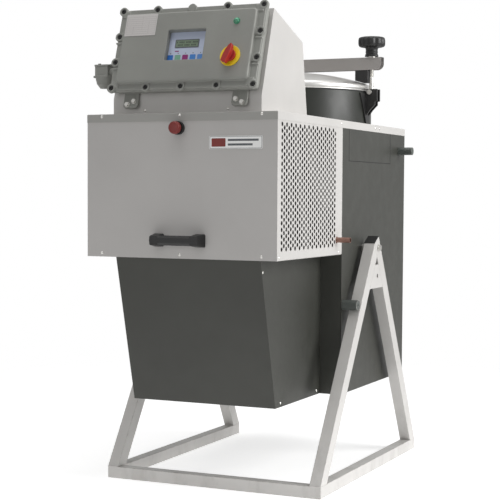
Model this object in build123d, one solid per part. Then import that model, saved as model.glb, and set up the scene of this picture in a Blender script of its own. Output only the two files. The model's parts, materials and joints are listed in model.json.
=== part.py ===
from build123d import *
import math
import os

# Tilting solvent recycler (batch distillation unit) on an A-frame stand.
# Millimetres, +Z up, X across the machine, Y from the front panel to the back.
# The geometry is drawn with Y = 0 on the front panel and moved at export, so
# that the origin is under the middle of the whole machine.

# ---- driving dimensions: cabinet ----
CAB_W = 670.0            # width over the side panels
BOX_DEPTH = 556.0        # front condenser box, front panel to body
CAB_DEPTH = 1230.0       # whole cabinet, front panel to back panel
COVER_TOP = 1232.0       # top face of the cover
COVER_LIP = 26.0         # height of the cover's folded lip
BOX_BOTTOM = 775.0       # underside of the condenser box
BODY_BOTTOM = 292.0      # underside of the boiler body
SHEET = 2.0              # sheet-metal thickness
LIP_T = 1.5              # lip stands this far outside the panels
HALF_W = CAB_W / 2

# ---- driving dimensions: lower tapered housing ----
TAPER_HALF_W = 258.0
TAPER_TOP_Y = 50.0
TAPER_BOTTOM_Y = 173.0

# ---- driving dimensions: stand ----
STAND_HALF_W = 394.0     # outer face of the stand's side frames
TUBE_W = 40.0            # tube width across the machine
RAIL_H = 40.0            # rail height
LEG_D = 48.0             # leg tube depth in the plane of the A
TUBE_T = 3.0             # tube wall
RAIL_FRONT_Y = 228.5
RAIL_REAR_Y = 1214.0
LEG_TOP_REAR = (771.6, 831.7)      # rear top corner of the rear leg (Y, Z)
PIVOT = (767.0, 792.0)             # tilt axis (Y, Z)
SHAFT_R = 14.0
BUSH_R = 17.0
RUNNING_GAP = 0.05                 # radial gap of a shaft in its bush
PIVOT_BOLT_R = 6.0
PIVOT_BOLT_HOLE_R = 6.5
LOCK_HOLE = (762.0, 692.7)         # transport lock hole (Y, Z)
LOCK_HOLE_R = 8.0
GUSSET_Z = (650.0, 733.0)
GUSSET_T = 6.0

# ---- driving dimensions: boiler and lid ----
BOILER_Y = 895.0
NECK_R = 298.0
NECK_TOP = 1350.0
VESSEL_R = 265.0
VESSEL_T = 3.0
VESSEL_BOTTOM = 530.0
LID_R = 300.0
LID_SKIRT_BOTTOM = 1354.0
DOME_TOP = 1428.0
DOME_SPHERE_R = 924.0
LID_T = 2.5

# ---- driving dimensions: clamp ----
BAR_BOTTOM = 1430.5
BAR_TOP = 1475.5
BAR_W = 28.0
BAR_T = 4.0
BAR_LEFT_X = -345.0
BAR_RIGHT_X = 358.0
HINGE_X = -326.0
HINGE_Z = 1450.0
PIN_R = 6.0
ROD_X = 316.0
ROD_R = 8.0
PIVOT_SCREW_R = 5.0
PIVOT_SCREW_Z = 1350.0
EYE_R = 11.5
KNOB_R = 50.0
KNOB_TOP = 1551.5
KNOB_BOTTOM = 1511.0
HUB_BOTTOM = 1479.0
HUB_R = 21.5

# ---- driving dimensions: console and enclosure ----
CONSOLE_HALF_W = 262.0
FACE_TILT = 18.1                   # degrees the control face leans back
FACE_ORIGIN_Y = 1.3                # bottom bolt row on the cover's flange
FACE_ORIGIN_Z = 1315.9
BOLT_U = 249.0                     # half spacing of the cover bolts across
BOLT_V = 265.0                     # height of the bolt grid
CONSOLE_W = -49.5                  # console face, measured from the flange
FIELD_W = 10.0                     # raised field above the flange

# ---- perforated side panels ----
HOLE_R = 7.25
HOLE_PITCH_Y = 18.03
HOLE_PITCH_Z = 20.2
HOLE_FIRST_Y = 35.7
HOLE_TOP_Z = 1193.5
HOLE_COLUMNS = 26
HOLE_ROWS = 20

FRONT_REACH = -46.0                # foremost point: the front handle
REAR_REACH = CAB_DEPTH + LIP_T
CENTRE_Y = (FRONT_REACH + REAR_REACH) / 2

os.makedirs("parts", exist_ok=True)


# ---- helpers ----
def save(name, *solids):
    """Write one node, moved so that the origin is under the machine's middle."""
    shifted = [Pos(0, -CENTRE_Y, 0) * solid for solid in solids]
    flat = []
    for shape in shifted:
        flat.extend(shape.solids())
    node = flat[0] if len(flat) == 1 else Compound(children=flat)
    node.label = name
    export_step(node, f"parts/{name}.step")


def block(x, y, z):
    """Box from three (low, high) pairs."""
    size = (x[1] - x[0], y[1] - y[0], z[1] - z[0])
    return Pos(x[0], y[0], z[0]) * Box(*size, align=(Align.MIN, Align.MIN, Align.MIN))


def prism_x(points, x0, x1):
    """Outline in (Y, Z), extruded from x0 to x1."""
    face = make_face(Plane.YZ.offset(x0) * Polyline(*points, close=True))
    return extrude(face, amount=x1 - x0, dir=(1, 0, 0))


def prism_y(points, y0, y1):
    """Outline in (X, Z), extruded from y0 to y1."""
    corners = [(p[0], y0, p[1]) for p in points]
    return extrude(make_face(Polyline(*corners, close=True)), amount=y1 - y0, dir=(0, 1, 0))


UPWARD = (Align.CENTER, Align.CENTER, Align.MIN)


def rod_x(radius, x0, x1, y, z):
    return Pos(x0, y, z) * Rot(0, 90, 0) * Cylinder(radius, x1 - x0, align=UPWARD)


def rod_y(radius, y0, y1, x, z):
    return Pos(x, y0, z) * Rot(-90, 0, 0) * Cylinder(radius, y1 - y0, align=UPWARD)


def rod_z(radius, z0, z1, x, y):
    return Pos(x, y, z0) * Cylinder(radius, z1 - z0, align=UPWARD)


def ring_z(outer, inner, z0, z1, x, y):
    return rod_z(outer, z0, z1, x, y) - rod_z(inner, z0 - 1, z1 + 1, x, y)


def turned(points, x, y):
    """Solid of revolution about a vertical axis, from an (R, Z) outline."""
    face = make_face(Plane.XZ * Polyline(*points, close=True))
    return Pos(x, y, 0) * revolve(face, Axis.Z)


def hexagon(across_flats, height):
    return extrude(RegularPolygon(across_flats / 2, 6, major_radius=False), amount=height)


def mirrored(shape):
    return mirror(shape, about=Plane.YZ)


FACE = Location(
    Plane(
        origin=(0, FACE_ORIGIN_Y, FACE_ORIGIN_Z),
        x_dir=(1, 0, 0),
        z_dir=(0, -math.cos(math.radians(FACE_TILT)), math.sin(math.radians(FACE_TILT))),
    )
)


def face_point(v, w):
    """(Y, Z) of a point on the control face's own frame, V up and W out."""
    lean_sin = math.sin(math.radians(FACE_TILT))
    lean_cos = math.cos(math.radians(FACE_TILT))
    return (FACE_ORIGIN_Y + v * lean_sin - w * lean_cos, FACE_ORIGIN_Z + v * lean_cos + w * lean_sin)


def on_face(shape):
    """Place a shape drawn in the control face's own frame: U across, V up, W out."""
    return FACE * shape


# ---- stand ----
def lean(low, high):
    """Unit direction from low to high in (Y, Z)."""
    length = math.hypot(high[0] - low[0], high[1] - low[1])
    return ((high[0] - low[0]) / length, (high[1] - low[1]) / length)


rear_dir = lean((RAIL_REAR_Y, RAIL_H), LEG_TOP_REAR)
LEG_TOP_FRONT = (LEG_TOP_REAR[0] - LEG_D * rear_dir[1], LEG_TOP_REAR[1] + LEG_D * rear_dir[0])
front_dir = lean((RAIL_FRONT_Y, RAIL_H), LEG_TOP_FRONT)
FRONT_LEG_RUN = LEG_D / front_dir[1]
REAR_LEG_RUN = LEG_D / rear_dir[1]


def front_leg_y(z, back=False):
    """Y of the front leg's front or back face at height z."""
    y = RAIL_FRONT_Y + (z - RAIL_H) * front_dir[0] / front_dir[1]
    return y + (FRONT_LEG_RUN if back else 0)


def rear_leg_y(z, back=False):
    """Y of the rear leg's front or back face at height z."""
    y = RAIL_REAR_Y + (z - RAIL_H) * rear_dir[0] / rear_dir[1]
    return y if back else y - REAR_LEG_RUN


def crossing_z():
    """Height at which the front leg's back face meets the rear leg's front face."""
    front_slope = front_dir[0] / front_dir[1]
    rear_slope = rear_dir[0] / rear_dir[1]
    gap = rear_leg_y(RAIL_H) - front_leg_y(RAIL_H, back=True)
    return RAIL_H + gap / (front_slope - rear_slope)


X_IN = STAND_HALF_W - TUBE_W
X_OUT = STAND_HALF_W


def front_leg():
    z_cross = crossing_z()
    outline = [
        (front_leg_y(RAIL_H), RAIL_H),
        LEG_TOP_FRONT,
        (front_leg_y(z_cross, True), z_cross),
        (front_leg_y(RAIL_H, True), RAIL_H),
    ]
    wall = TUBE_T / front_dir[1]
    low = RAIL_H - 10
    high = LEG_TOP_FRONT[1] + 60
    inside = [
        (front_leg_y(low) + wall, low),
        (front_leg_y(high) + wall, high),
        (front_leg_y(high, True) - wall, high),
        (front_leg_y(low, True) - wall, low),
    ]
    return prism_x(outline, X_IN, X_OUT) - prism_x(inside, X_IN + TUBE_T, X_OUT - TUBE_T)


def rear_leg():
    outline = [
        (rear_leg_y(RAIL_H), RAIL_H),
        LEG_TOP_FRONT,
        LEG_TOP_REAR,
        (RAIL_REAR_Y, RAIL_H),
    ]
    wall = TUBE_T / rear_dir[1]
    low = RAIL_H - 10
    high = LEG_TOP_REAR[1] + 60
    inside = [
        (rear_leg_y(low) + wall, low),
        (rear_leg_y(high) + wall, high),
        (rear_leg_y(high, True) - wall, high),
        (rear_leg_y(low, True) - wall, low),
    ]
    leg = prism_x(outline, X_IN, X_OUT) - prism_x(inside, X_IN + TUBE_T, X_OUT - TUBE_T)
    leg -= rod_x(BUSH_R, X_IN - 1, X_OUT - TUBE_T, *PIVOT)
    return leg - rod_x(PIVOT_BOLT_HOLE_R, X_OUT - TUBE_T - 1, X_OUT + 1, *PIVOT)


def side_rail():
    rail = block((X_IN, X_OUT), (RAIL_FRONT_Y, RAIL_REAR_Y), (0, RAIL_H))
    rail -= block(
        (X_IN + TUBE_T, X_OUT - TUBE_T),
        (RAIL_FRONT_Y - 1, RAIL_REAR_Y - TUBE_T),
        (TUBE_T, RAIL_H - TUBE_T),
    )
    return rail - mitre_wedge(outside=False)


def mitre_wedge(outside):
    """Space on one side of the mitre line at the right front corner of the base."""
    mitre_y = RAIL_FRONT_Y + TUBE_W
    if outside:
        points = [
            (X_OUT, RAIL_FRONT_Y, -1),
            (X_IN, mitre_y, -1),
            (X_IN, mitre_y + 2, -1),
            (X_OUT + 2, mitre_y + 2, -1),
            (X_OUT + 2, RAIL_FRONT_Y, -1),
        ]
    else:
        points = [
            (X_OUT, RAIL_FRONT_Y, -1),
            (X_IN, mitre_y, -1),
            (X_IN - 1, mitre_y, -1),
            (X_IN - 1, RAIL_FRONT_Y - 2, -1),
            (X_OUT, RAIL_FRONT_Y - 2, -1),
        ]
    return extrude(make_face(Polyline(*points, close=True)), amount=RAIL_H + 2, dir=(0, 0, 1))


def front_rail():
    rail = block((-X_OUT, X_OUT), (RAIL_FRONT_Y, RAIL_FRONT_Y + TUBE_W), (0, RAIL_H))
    rail -= block(
        (-X_OUT - 1, X_OUT + 1),
        (RAIL_FRONT_Y + TUBE_T, RAIL_FRONT_Y + TUBE_W - TUBE_T),
        (TUBE_T, RAIL_H - TUBE_T),
    )
    wedge = mitre_wedge(outside=True)
    return rail - wedge - mirrored(wedge)


def gusset():
    low, high = GUSSET_Z
    outline = [
        (front_leg_y(low, True), low),
        (front_leg_y(high, True), high),
        (rear_leg_y(high), high),
        (rear_leg_y(low), low),
    ]
    plate = prism_x(outline, X_OUT - GUSSET_T, X_OUT)
    return plate - rod_x(LOCK_HOLE_R, X_OUT - GUSSET_T - 1, X_OUT + 1, *LOCK_HOLE)


def apex_plug():
    """Plastic plug closing the square end of the rear leg."""
    up = rear_dir
    back = (rear_dir[1], -rear_dir[0])

    def at(along, across):
        return (
            LEG_TOP_FRONT[0] + up[0] * along + back[0] * across,
            LEG_TOP_FRONT[1] + up[1] * along + back[1] * across,
        )

    cap = prism_x([at(0, 0), at(3, 1), at(3, LEG_D - 1), at(0, LEG_D)], X_IN, X_OUT)
    spigot = prism_x(
        [at(0, TUBE_T), at(0, LEG_D - TUBE_T), at(-10, LEG_D - TUBE_T), at(-10, TUBE_T)],
        X_IN + TUBE_T,
        X_OUT - TUBE_T,
    )
    return cap + spigot


BUSH_FLANGE_R = 22.0
BUSH_FLANGE_T = 3.0


def trunnion_bush():
    bush = rod_x(BUSH_R, X_IN - BUSH_FLANGE_T, X_OUT - TUBE_T, *PIVOT)
    bush += rod_x(BUSH_FLANGE_R, X_IN - BUSH_FLANGE_T, X_IN, *PIVOT)
    return bush - rod_x(SHAFT_R + RUNNING_GAP, X_IN - 10, X_OUT, *PIVOT)


# ---- cabinet sheet metal ----
PANEL_TOP = COVER_TOP - SHEET - 1.0
HATCH_Y = (620.0, 1060.0)
HATCH_Z = (1095.0, 1207.0)
HATCH_GAP = 1.2


def body_side():
    """Right-hand side sheet of the boiler body, with its hatch and pivot holes."""
    side = block((HALF_W - SHEET, HALF_W), (BOX_DEPTH, CAB_DEPTH), (BODY_BOTTOM, PANEL_TOP))
    side -= rod_x(SHAFT_R, HALF_W - SHEET - 1, HALF_W + 1, *PIVOT)
    side -= rod_x(LOCK_HOLE_R, HALF_W - SHEET - 1, HALF_W + 1, *LOCK_HOLE)
    return drilled(side)


def body_shell():
    """Welded shell: two sides, the back and two narrow front returns."""
    inner = HALF_W - SHEET
    hatch = block((inner - 1, HALF_W + 1), HATCH_Y, HATCH_Z)
    back = block((-inner, inner), (CAB_DEPTH - SHEET, CAB_DEPTH), (BODY_BOTTOM, PANEL_TOP))
    front_return = block((TAPER_HALF_W, inner), (BOX_DEPTH, BOX_DEPTH + SHEET), (BODY_BOTTOM, BOX_BOTTOM))
    return [body_side() - hatch, mirrored(body_side()), back, front_return, mirrored(front_return)]


def side_access_cover():
    """Flush hatch with a joggled frame behind the body's side."""
    gap = HATCH_GAP
    y = (HATCH_Y[0] + gap, HATCH_Y[1] - gap)
    z = (HATCH_Z[0] + gap, HATCH_Z[1] - gap)
    skin = block((HALF_W - SHEET, HALF_W), y, z)
    flange_y = (HATCH_Y[0] - 8, HATCH_Y[1] + 8)
    flange_z = (HATCH_Z[0] - 8, HATCH_Z[1] + 8)
    flange = block((HALF_W - 2 * SHEET, HALF_W - SHEET), flange_y, flange_z)
    flange -= block(
        (HALF_W - 2 * SHEET - 1, HALF_W - SHEET + 1),
        (HATCH_Y[0] + 15, HATCH_Y[1] - 15),
        (HATCH_Z[0] + 15, HATCH_Z[1] - 15),
    )
    return skin + flange


def base_panel():
    rear = block(
        (-HALF_W + SHEET, HALF_W - SHEET),
        (BOX_DEPTH + SHEET, CAB_DEPTH - SHEET),
        (BODY_BOTTOM, BODY_BOTTOM + SHEET),
    )
    front = block(
        (-TAPER_HALF_W + SHEET, TAPER_HALF_W - SHEET),
        (TAPER_BOTTOM_Y + 3, BOX_DEPTH + SHEET),
        (BODY_BOTTOM, BODY_BOTTOM + SHEET),
    )
    return [rear, front]


def taper_housing():
    """Lower front cover: a leaning front and two sides, folded from one sheet."""
    top = BOX_BOTTOM
    outline = [(TAPER_TOP_Y, top), (TAPER_BOTTOM_Y, BODY_BOTTOM), (BOX_DEPTH, BODY_BOTTOM), (BOX_DEPTH, top)]
    slope = (TAPER_BOTTOM_Y - TAPER_TOP_Y) / (top - BODY_BOTTOM)
    skin = SHEET * math.hypot(1, slope)
    high = top + 10
    low = BODY_BOTTOM - 10
    inside = [
        (TAPER_TOP_Y + skin - 10 * slope, high),
        (TAPER_BOTTOM_Y + skin + 10 * slope, low),
        (BOX_DEPTH + 1, low),
        (BOX_DEPTH + 1, high),
    ]
    outer = prism_x(outline, -TAPER_HALF_W, TAPER_HALF_W)
    return outer - prism_x(inside, -TAPER_HALF_W + SHEET, TAPER_HALF_W - SHEET)


def top_cover():
    x = HALF_W + LIP_T
    y0 = -LIP_T
    y1 = CAB_DEPTH + LIP_T
    z0 = COVER_TOP - COVER_LIP
    cover = block((-x, x), (y0, y1), (z0, COVER_TOP))
    cover = fillet(cover.edges().filter_by(Axis.Z), 3)
    cover = fillet(cover.faces().sort_by(Axis.Z)[-1].edges(), 2.5)
    cover -= block((-HALF_W, HALF_W), (0, CAB_DEPTH), (z0 - 1, COVER_TOP - SHEET))
    cover -= rod_z(NECK_R, z0, COVER_TOP + 1, 0, BOILER_Y)
    return cover - block((-180, 180), (110, 320), (z0, COVER_TOP + 1))


ESTOP_X = -3.0
ESTOP_Z = 1184.5
ESTOP_BORE_R = 11.0


def front_panel():
    panel = block((-HALF_W, HALF_W), (0, SHEET), (BOX_BOTTOM, PANEL_TOP))
    panel += block((-HALF_W, HALF_W), (0, 18), (BOX_BOTTOM, BOX_BOTTOM + SHEET))
    return panel - rod_y(ESTOP_BORE_R, -1, SHEET + 1, ESTOP_X, ESTOP_Z)


def box_floor():
    floor = block((-HALF_W + SHEET, HALF_W - SHEET), (18, BOX_DEPTH), (BOX_BOTTOM, BOX_BOTTOM + SHEET))
    inner = (-HALF_W + SHEET, HALF_W - SHEET)
    floor += block(inner, (BOX_DEPTH - SHEET, BOX_DEPTH), (BOX_BOTTOM, BOX_BOTTOM + 22))
    return floor


def side_grille():
    """Perforated right-hand side of the condenser box."""
    sheet = Plane.YZ.offset(HALF_W - SHEET) * Pos(
        (SHEET + BOX_DEPTH) / 2, (BOX_BOTTOM + PANEL_TOP + SHEET) / 2
    ) * Rectangle(BOX_DEPTH - SHEET, PANEL_TOP - BOX_BOTTOM - SHEET)
    centres = []
    for column in range(HOLE_COLUMNS):
        offset = (column % 2) * HOLE_PITCH_Z / 2
        rows = HOLE_ROWS - column % 2
        for row in range(rows):
            y = HOLE_FIRST_Y + column * HOLE_PITCH_Y
            z = HOLE_TOP_Z - offset - row * HOLE_PITCH_Z
            centres.append((y, z))
    circles = Sketch() + [Pos(y, z) * Circle(HOLE_R) for y, z in centres]
    holes = Plane.YZ.offset(HALF_W - SHEET) * circles
    return extrude(sheet - holes, amount=SHEET, dir=(1, 0, 0))


OUTLET_Y = 508.5
OUTLET_Z = 826.0
OUTLET_R = 9.0
OUTLET_END = 384.0
COUPLING_R = 12.0


# ---- console and control enclosure ----
def console_outline(inset):
    """Console side outline in (Y, Z), moved inwards by the sheet thickness."""
    front_low = (face_point(-20, CONSOLE_W)[0] + inset, COVER_TOP)
    front_high = face_point(-20 + inset * 0.16, CONSOLE_W - inset)
    top_front = face_point(273 - inset, CONSOLE_W - inset)
    knee = (369.0 - inset, 1477.5 - inset * 1.2)
    rear_low = (412.0 - inset, COVER_TOP)
    return [front_low, front_high, top_front, knee, rear_low]


def console_housing():
    outer = prism_x(console_outline(0), -CONSOLE_HALF_W, CONSOLE_HALF_W)
    inner = prism_x(console_outline(SHEET), -CONSOLE_HALF_W + SHEET, CONSOLE_HALF_W - SHEET)
    window = on_face(block((-243.5, 243.5), (3, 262), (CONSOLE_W - 30, CONSOLE_W + 30)))
    return outer - inner - window


COVER_U = 264.0
COVER_V = (-15.0, 279.0)
COVER_T = 12.0
FLANGE_DROP = 5.0                  # flange plate below the boss tops
ENCLOSURE_DEPTH = 165.0
WINDOW = (133.0, 103.0)
WINDOW_V = 136.0
BOLT_PLACES = (
    [(u * BOLT_U, v) for v in (0.0, BOLT_V) for u in (-1, -0.5, 0.5, 1)]
    + [(0.0, 0.0)]
    + [(u * BOLT_U, v * BOLT_V) for u in (-1, 1) for v in (1 / 3, 2 / 3)]
)
LAMP = (170.0, 207.0)
SWITCH = (165.0, 90.0)
FOOT_T = 9.0
LUG_BOLTS = [(side * u, v) for side in (-1, 1) for u, v in ((180.0, -32.0), (203.0, -43.0))]


def rounded_slab(half_u, v0, v1, w0, w1, radius):
    plan = Pos(0, (v0 + v1) / 2, w0) * RectangleRounded(2 * half_u, v1 - v0, radius)
    return extrude(plan, amount=w1 - w0)


def enclosure_cover():
    """Cast flameproof cover: bolted flange, bolt bosses and a raised field."""
    v0, v1 = COVER_V
    cover = rounded_slab(COVER_U - 9, v0 + 9, v1 - 9, -COVER_T, -FLANGE_DROP, 10)
    for u, v in BOLT_PLACES + [(0.0, BOLT_V)]:
        boss = Cylinder(15, COVER_T, align=UPWARD)
        cover += Pos(u, v, -COVER_T) * boss
        inner_u = max(-225.0, min(225.0, u))
        inner_v = max(22.0, min(243.0, v))
        web_u = sorted((u, inner_u)) if abs(u) == BOLT_U else (u - 13, u + 13)
        web_v = (v - 13, v + 13) if abs(u) == BOLT_U and 0 < v < BOLT_V else sorted((v, inner_v))
        if web_u[1] - web_u[0] > 1 and web_v[1] - web_v[0] > 1:
            cover += block(web_u, web_v, (1 - COVER_T, -1.5))
    for side in (-1, 1):
        for v in (BOLT_V / 3, 2 * BOLT_V / 3):
            u = sorted((side * 236, side * 258))
            cover += block(u, (v - 25, v - 19), (1 - COVER_T, -0.5))
    field = rounded_slab(232, 15, 250, -1, FIELD_W, 12)
    field = chamfer(field.faces().sort_by(Axis.Z)[-1].edges(), 3)
    cover += field + rounded_slab(232, 15, 250, -FLANGE_DROP - 1, 2, 12)
    opening = rounded_slab(WINDOW[0] / 2, WINDOW_V - WINDOW[1] / 2, WINDOW_V + WINDOW[1] / 2, -40, 40, 4)
    cover -= opening
    for u, v in BOLT_PLACES:
        cover -= Pos(u, v, -20) * Cylinder(5, 60)
        cover -= Pos(u, v, -8) * Cylinder(8.5, 20, align=UPWARD)
    cover -= Pos(*LAMP, 0) * Cylinder(8, 60)
    return on_face(cover - Pos(*SWITCH, 0) * Cylinder(7, 60))


def enclosure_body():
    """Cast box behind the cover, mostly inside the console."""
    flange = rounded_slab(COVER_U - 7, COVER_V[0] + 7, COVER_V[1] - 7, CONSOLE_W + 22, -COVER_T, 10)
    neck = rounded_slab(250, -2, 266, CONSOLE_W, CONSOLE_W + 24, 10)
    tub = rounded_slab(242, 4, 261, -ENCLOSURE_DEPTH, CONSOLE_W + 5, 10)
    box = flange + neck + tub
    for side in (-1, 1):
        foot = Pos(side * 192, -26, CONSOLE_W) * RectangleRounded(54, 56, 12)
        box += extrude(foot, amount=FOOT_T)
    box -= rounded_slab(228, 18, 247, -ENCLOSURE_DEPTH + 8, 0, 8)
    for u, v in BOLT_PLACES:
        box -= Pos(u, v, 0) * Cylinder(4, 68)
    for u, v in LUG_BOLTS:
        box -= Pos(u, v, CONSOLE_W) * Cylinder(4, 40)
    return on_face(box)


def cover_bolts():
    """Socket-head cap screws, heads sunk in the cover's bosses."""
    bolts = []
    for u, v in BOLT_PLACES:
        head = Pos(u, v, -7.7) * Cylinder(6.5, 8, align=UPWARD)
        head -= Pos(u, v, -3.7) * hexagon(6, 10)
        shank = Pos(u, v, -31) * Cylinder(4, 24, align=UPWARD)
        bolts.append(on_face(head + shank))
    return bolts


def mounting_bolts():
    """Hex bolts with washers that hold the enclosure's feet to the console."""
    bolts = []
    seat = CONSOLE_W + FOOT_T
    for u, v in LUG_BOLTS:
        bolt = Pos(u, v, seat + 1.6) * hexagon(13, 6)
        bolt += Pos(u, v, seat) * Cylinder(8.5, 1.6, align=UPWARD)
        bolt += Pos(u, v, CONSOLE_W) * Cylinder(4, FOOT_T + 2, align=UPWARD)
        bolts.append(on_face(bolt))
    return bolts


def face_slab(u, v, w, radius):
    outline = RectangleRounded(u[1] - u[0], v[1] - v[0], radius)
    plan = Pos((u[0] + u[1]) / 2, (v[0] + v[1]) / 2, w[0]) * outline
    return on_face(extrude(plan, amount=w[1] - w[0]))


def indicator_lamp():
    lamp = Cylinder(8, 30, align=(Align.CENTER, Align.CENTER, Align.MAX))
    lamp += Cylinder(11, 3, align=UPWARD)
    dome = Pos(0, 0, 3) * (Sphere(9) & Pos(0, 0, 5) * Box(20, 20, 10))
    return on_face(Pos(*LAMP, FIELD_W) * (lamp + dome))


def switch_plate():
    plate = Cylinder(34, 4, align=UPWARD)
    plate += Cylinder(7, 40, align=(Align.CENTER, Align.CENTER, Align.MAX))
    plate -= Cylinder(4.5, 120)
    return on_face(Pos(*SWITCH, FIELD_W) * plate)


SWITCH_REST = -20.0     # degrees of the handle from upright, clockwise negative


def switch_handle():
    hub = Pos(0, 0, 4.4) * Cylinder(20.5, 8, align=UPWARD)
    outline = [(0, 33), (5, 25), (9, 8), (9.5, -6), (8, -30), (-8, -30), (-9.5, -6), (-9, 8), (-5, 25)]
    grip = Pos(0, 0, 12) * extrude(make_face(Polyline(*outline, close=True)), amount=18)
    spindle = Pos(0, 0, -20) * Cylinder(4, 26, align=UPWARD)
    return on_face(Pos(*SWITCH, FIELD_W) * Rot(0, 0, SWITCH_REST) * (hub + grip + spindle))


# ---- front fittings ----
def estop_base():
    base = rod_y(21, -12, 0, ESTOP_X, ESTOP_Z)
    base += rod_y(ESTOP_BORE_R, -1, 6, ESTOP_X, ESTOP_Z)
    base += block((ESTOP_X - 20, ESTOP_X + 20), (6, 46), (ESTOP_Z - 20, ESTOP_Z + 20))
    return base - rod_y(7.5, -13, 30, ESTOP_X, ESTOP_Z)


def estop_button():
    head = rod_y(20, -38, -18.5, ESTOP_X, ESTOP_Z)
    head = fillet(head.edges().filter_by(GeomType.CIRCLE).sort_by(Axis.Y)[0], 6)
    return head + rod_y(7, -19, 20, ESTOP_X, ESTOP_Z)


HANDLE_HALF = 92.0
HANDLE_Z = 832.5


def front_handle():
    """Bridge handle: a six-sided grip between two flared feet."""
    grip = Polyline(
        (0, -44, HANDLE_Z - 8),
        (0, -46, HANDLE_Z),
        (0, -44, HANDLE_Z + 8),
        (0, -36, HANDLE_Z + 16),
        (0, -26, HANDLE_Z + 14),
        (0, -26, HANDLE_Z - 14),
        (0, -36, HANDLE_Z - 16),
        close=True,
    )
    length = 2 * HANDLE_HALF - 16
    handle = Pos(-length / 2, 0, 0) * extrude(make_face(grip), amount=length, dir=(1, 0, 0))
    for side in (-1, 1):
        foot = loft([
            Plane((side * (HANDLE_HALF - 19), 0, HANDLE_Z), x_dir=(1, 0, 0), z_dir=(0, -1, 0))
            * RectangleRounded(38, 42, 5),
            Plane((side * (HANDLE_HALF - 22), -44, HANDLE_Z), x_dir=(1, 0, 0), z_dir=(0, -1, 0))
            * RectangleRounded(28, 30, 5),
        ])
        handle += foot
    return handle


SCREW_SHANK_R = 2.0
SCREW_SHANK = 7.0


def facing(x, y, z, direction):
    return Location(Plane(origin=(x, y, z), z_dir=direction))


def screw_places():
    """Seats of the pan-head screws, axes pointing outwards."""
    places = []
    for x in (-282, 0, 282):
        places.append(facing(x, -LIP_T, COVER_TOP - 8, (0, -1, 0)))
        places.append(facing(x, 0, BOX_BOTTOM + 12, (0, -1, 0)))
    for x in (-147, 147):
        places.append(facing(x, 42, COVER_TOP + 13, (0, -1, 0)))
    for side in (-1, 1):
        out = (side, 0, 0)
        for y in (541, 888, 931):
            places.append(facing(side * (HALF_W + LIP_T), y, COVER_TOP - 12, out))
        for y in (16, 528):
            places.append(facing(side * HALF_W, y, BOX_BOTTOM + 9, out))
        for y, z in ((68, 735), (215, 305), (529, 305)):
            places.append(facing(side * TAPER_HALF_W, y, z, out))
    return places


def panel_screws():
    head = Pos(0, 0, -3.9) * (Sphere(6.2) & Pos(0, 0, 8.9) * Box(20, 20, 10))
    shank = Cylinder(SCREW_SHANK_R, SCREW_SHANK, align=(Align.CENTER, Align.CENTER, Align.MAX))
    return [place * (head + shank) for place in screw_places()]


def drilled(panel):
    """The panel with the clearance holes of all the screws that cross it."""
    shank = Cylinder(SCREW_SHANK_R, SCREW_SHANK + 0.1, align=(Align.CENTER, Align.CENTER, Align.MAX))
    for place in screw_places():
        panel -= place * shank
    return panel


# ---- conduit fitting on the left ----
FITTING = (-325.0, 95.0, 1360.0)


def conduit_fitting():
    x, y, z = FITTING
    box = block((x - 24, x + 24), (y - 26, y + 26), (z, z + 33))
    cup = turned(
        [(0, z - 38), (16, z - 38), (27, z - 24), (31, z - 8), (32, z + 3), (0, z + 3)], x, y
    )
    lip = block((x - 37, x), (y - 14, y + 14), (z - 3, z + 4))
    nipple = rod_x(14, x, -CONSOLE_HALF_W, y, z + 14)
    gland = rod_y(15, y, y + 38, x, z + 14)
    fitting = box + cup + lip + nipple + gland
    fitting -= block((x - 19, x + 19), (y - 21, y + 21), (z + 3, z + 34))
    fitting -= rod_x(9, x, -CONSOLE_HALF_W + 1, y, z + 14)
    return fitting - rod_y(10, y + 20, y + 39, x, z + 14)


def conduit_fitting_cover():
    x, y, z = FITTING
    cover = block((x - 25, x + 25), (y - 27, y + 27), (z + 33, z + 39))
    for side in (-1, 1):
        cover += rod_z(5, z + 39, z + 43, x + side * 13, y + side * 14)
    return cover


# ---- boiler ----
def boiler_vessel():
    """Welded stainless pan: rolled shell, dished end and top flange."""
    r = VESSEL_R
    t = VESSEL_T
    z0 = VESSEL_BOTTOM
    shell = ring_z(r, r - t, z0 + 62, NECK_TOP, 0, BOILER_Y)
    shell -= rod_y(DUCT_R - 3, BOILER_Y - r - 20, BOILER_Y - r + 30, 0, DUCT_Z)
    end = turned(
        [
            (0, z0), (r * 0.6, z0 + 8), (r - 30, z0 + 28), (r, z0 + 62),
            (r - t, z0 + 62), (r - 31, z0 + 28 + t), (r * 0.6, z0 + 8 + t), (0, z0 + t),
        ],
        0, BOILER_Y,
    )
    flange = ring_z(NECK_R - 4, r, NECK_TOP - 6, NECK_TOP, 0, BOILER_Y)
    return [shell, end, flange]


DUCT_R = 25.0
DUCT_Z = 1160.0
JACKET_R = 289.0
JACKET_Z = (470.0, 1000.0)
HEATER_TAILS = [(x, BOILER_Y - 150) for row in (-150, 0, 150) for x in (row - 35, row + 35)]
HEATER_R = 6.5


def oil_jacket():
    """Welded jacket: wall, floor with the heater holes, and top ring."""
    z0, z1 = JACKET_Z
    wall = ring_z(JACKET_R, JACKET_R - 3, z0 + 3, z1 - 3, 0, BOILER_Y)
    floor = rod_z(JACKET_R, z0, z0 + 3, 0, BOILER_Y)
    for x, y in HEATER_TAILS:
        floor -= rod_z(HEATER_R, z0 - 1, z0 + 10, x, y)
    top = ring_z(JACKET_R, VESSEL_R, z1 - 3, z1, 0, BOILER_Y)
    return [wall, floor, top]


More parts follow.
